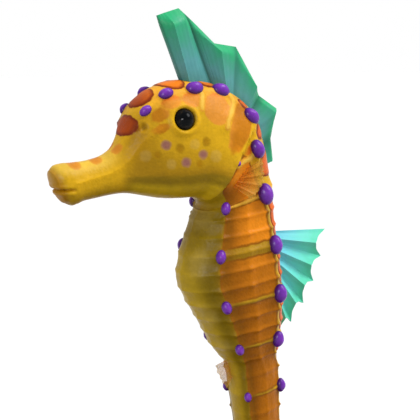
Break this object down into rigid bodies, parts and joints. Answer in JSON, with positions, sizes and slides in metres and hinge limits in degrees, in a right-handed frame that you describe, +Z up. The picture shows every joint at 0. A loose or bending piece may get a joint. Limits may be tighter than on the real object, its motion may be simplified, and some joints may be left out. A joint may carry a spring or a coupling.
{
  "type": "zebra-snout seahorse model on a stand",
  "caption": "Life-size still model of a swimming seahorse with a tall lobed crest, knobbed bony rings and a coiled tail, held upright on a rod over an oval wooden base.",
  "frame": {"origin": "centre of the underside of the stand's base, which is the middle of the whole part's footprint at its lowest level", "axes": "+Z up, the animal faces -Y, its left side is +X, and its middle plane is X = 0"},
  "size_m": [0.05, 0.07, 0.0996],
  "materials": {
    "skin": "satin, damp-looking hide over bony rings, golden yellow with orange plates",
    "eye": "glossy near-black cornea",
    "fin_membrane": "satin turquoise membrane on fine rays",
    "stand_wood": "oiled dark walnut",
    "stand_brass": "brushed, lacquered"
  },
  "bodies": {
    "root": {"snout": "skin", "head": "skin", "neck": "skin", "trunk_upper": "skin", "trunk_lower": "skin", "tail_1": "skin", "tail_2": "skin", "tail_3": "skin", "tail_4": "skin", "tail_5": "skin", "eye_left": "eye", "eye_right": "eye", "crest": "fin_membrane", "fin_dorsal": "fin_membrane", "fin_anal": "fin_membrane", "fin_pectoral_left": "fin_membrane", "fin_pectoral_right": "fin_membrane", "stand_base": "stand_wood", "stand_rod": "stand_brass"}
  },
  "joints": []
}
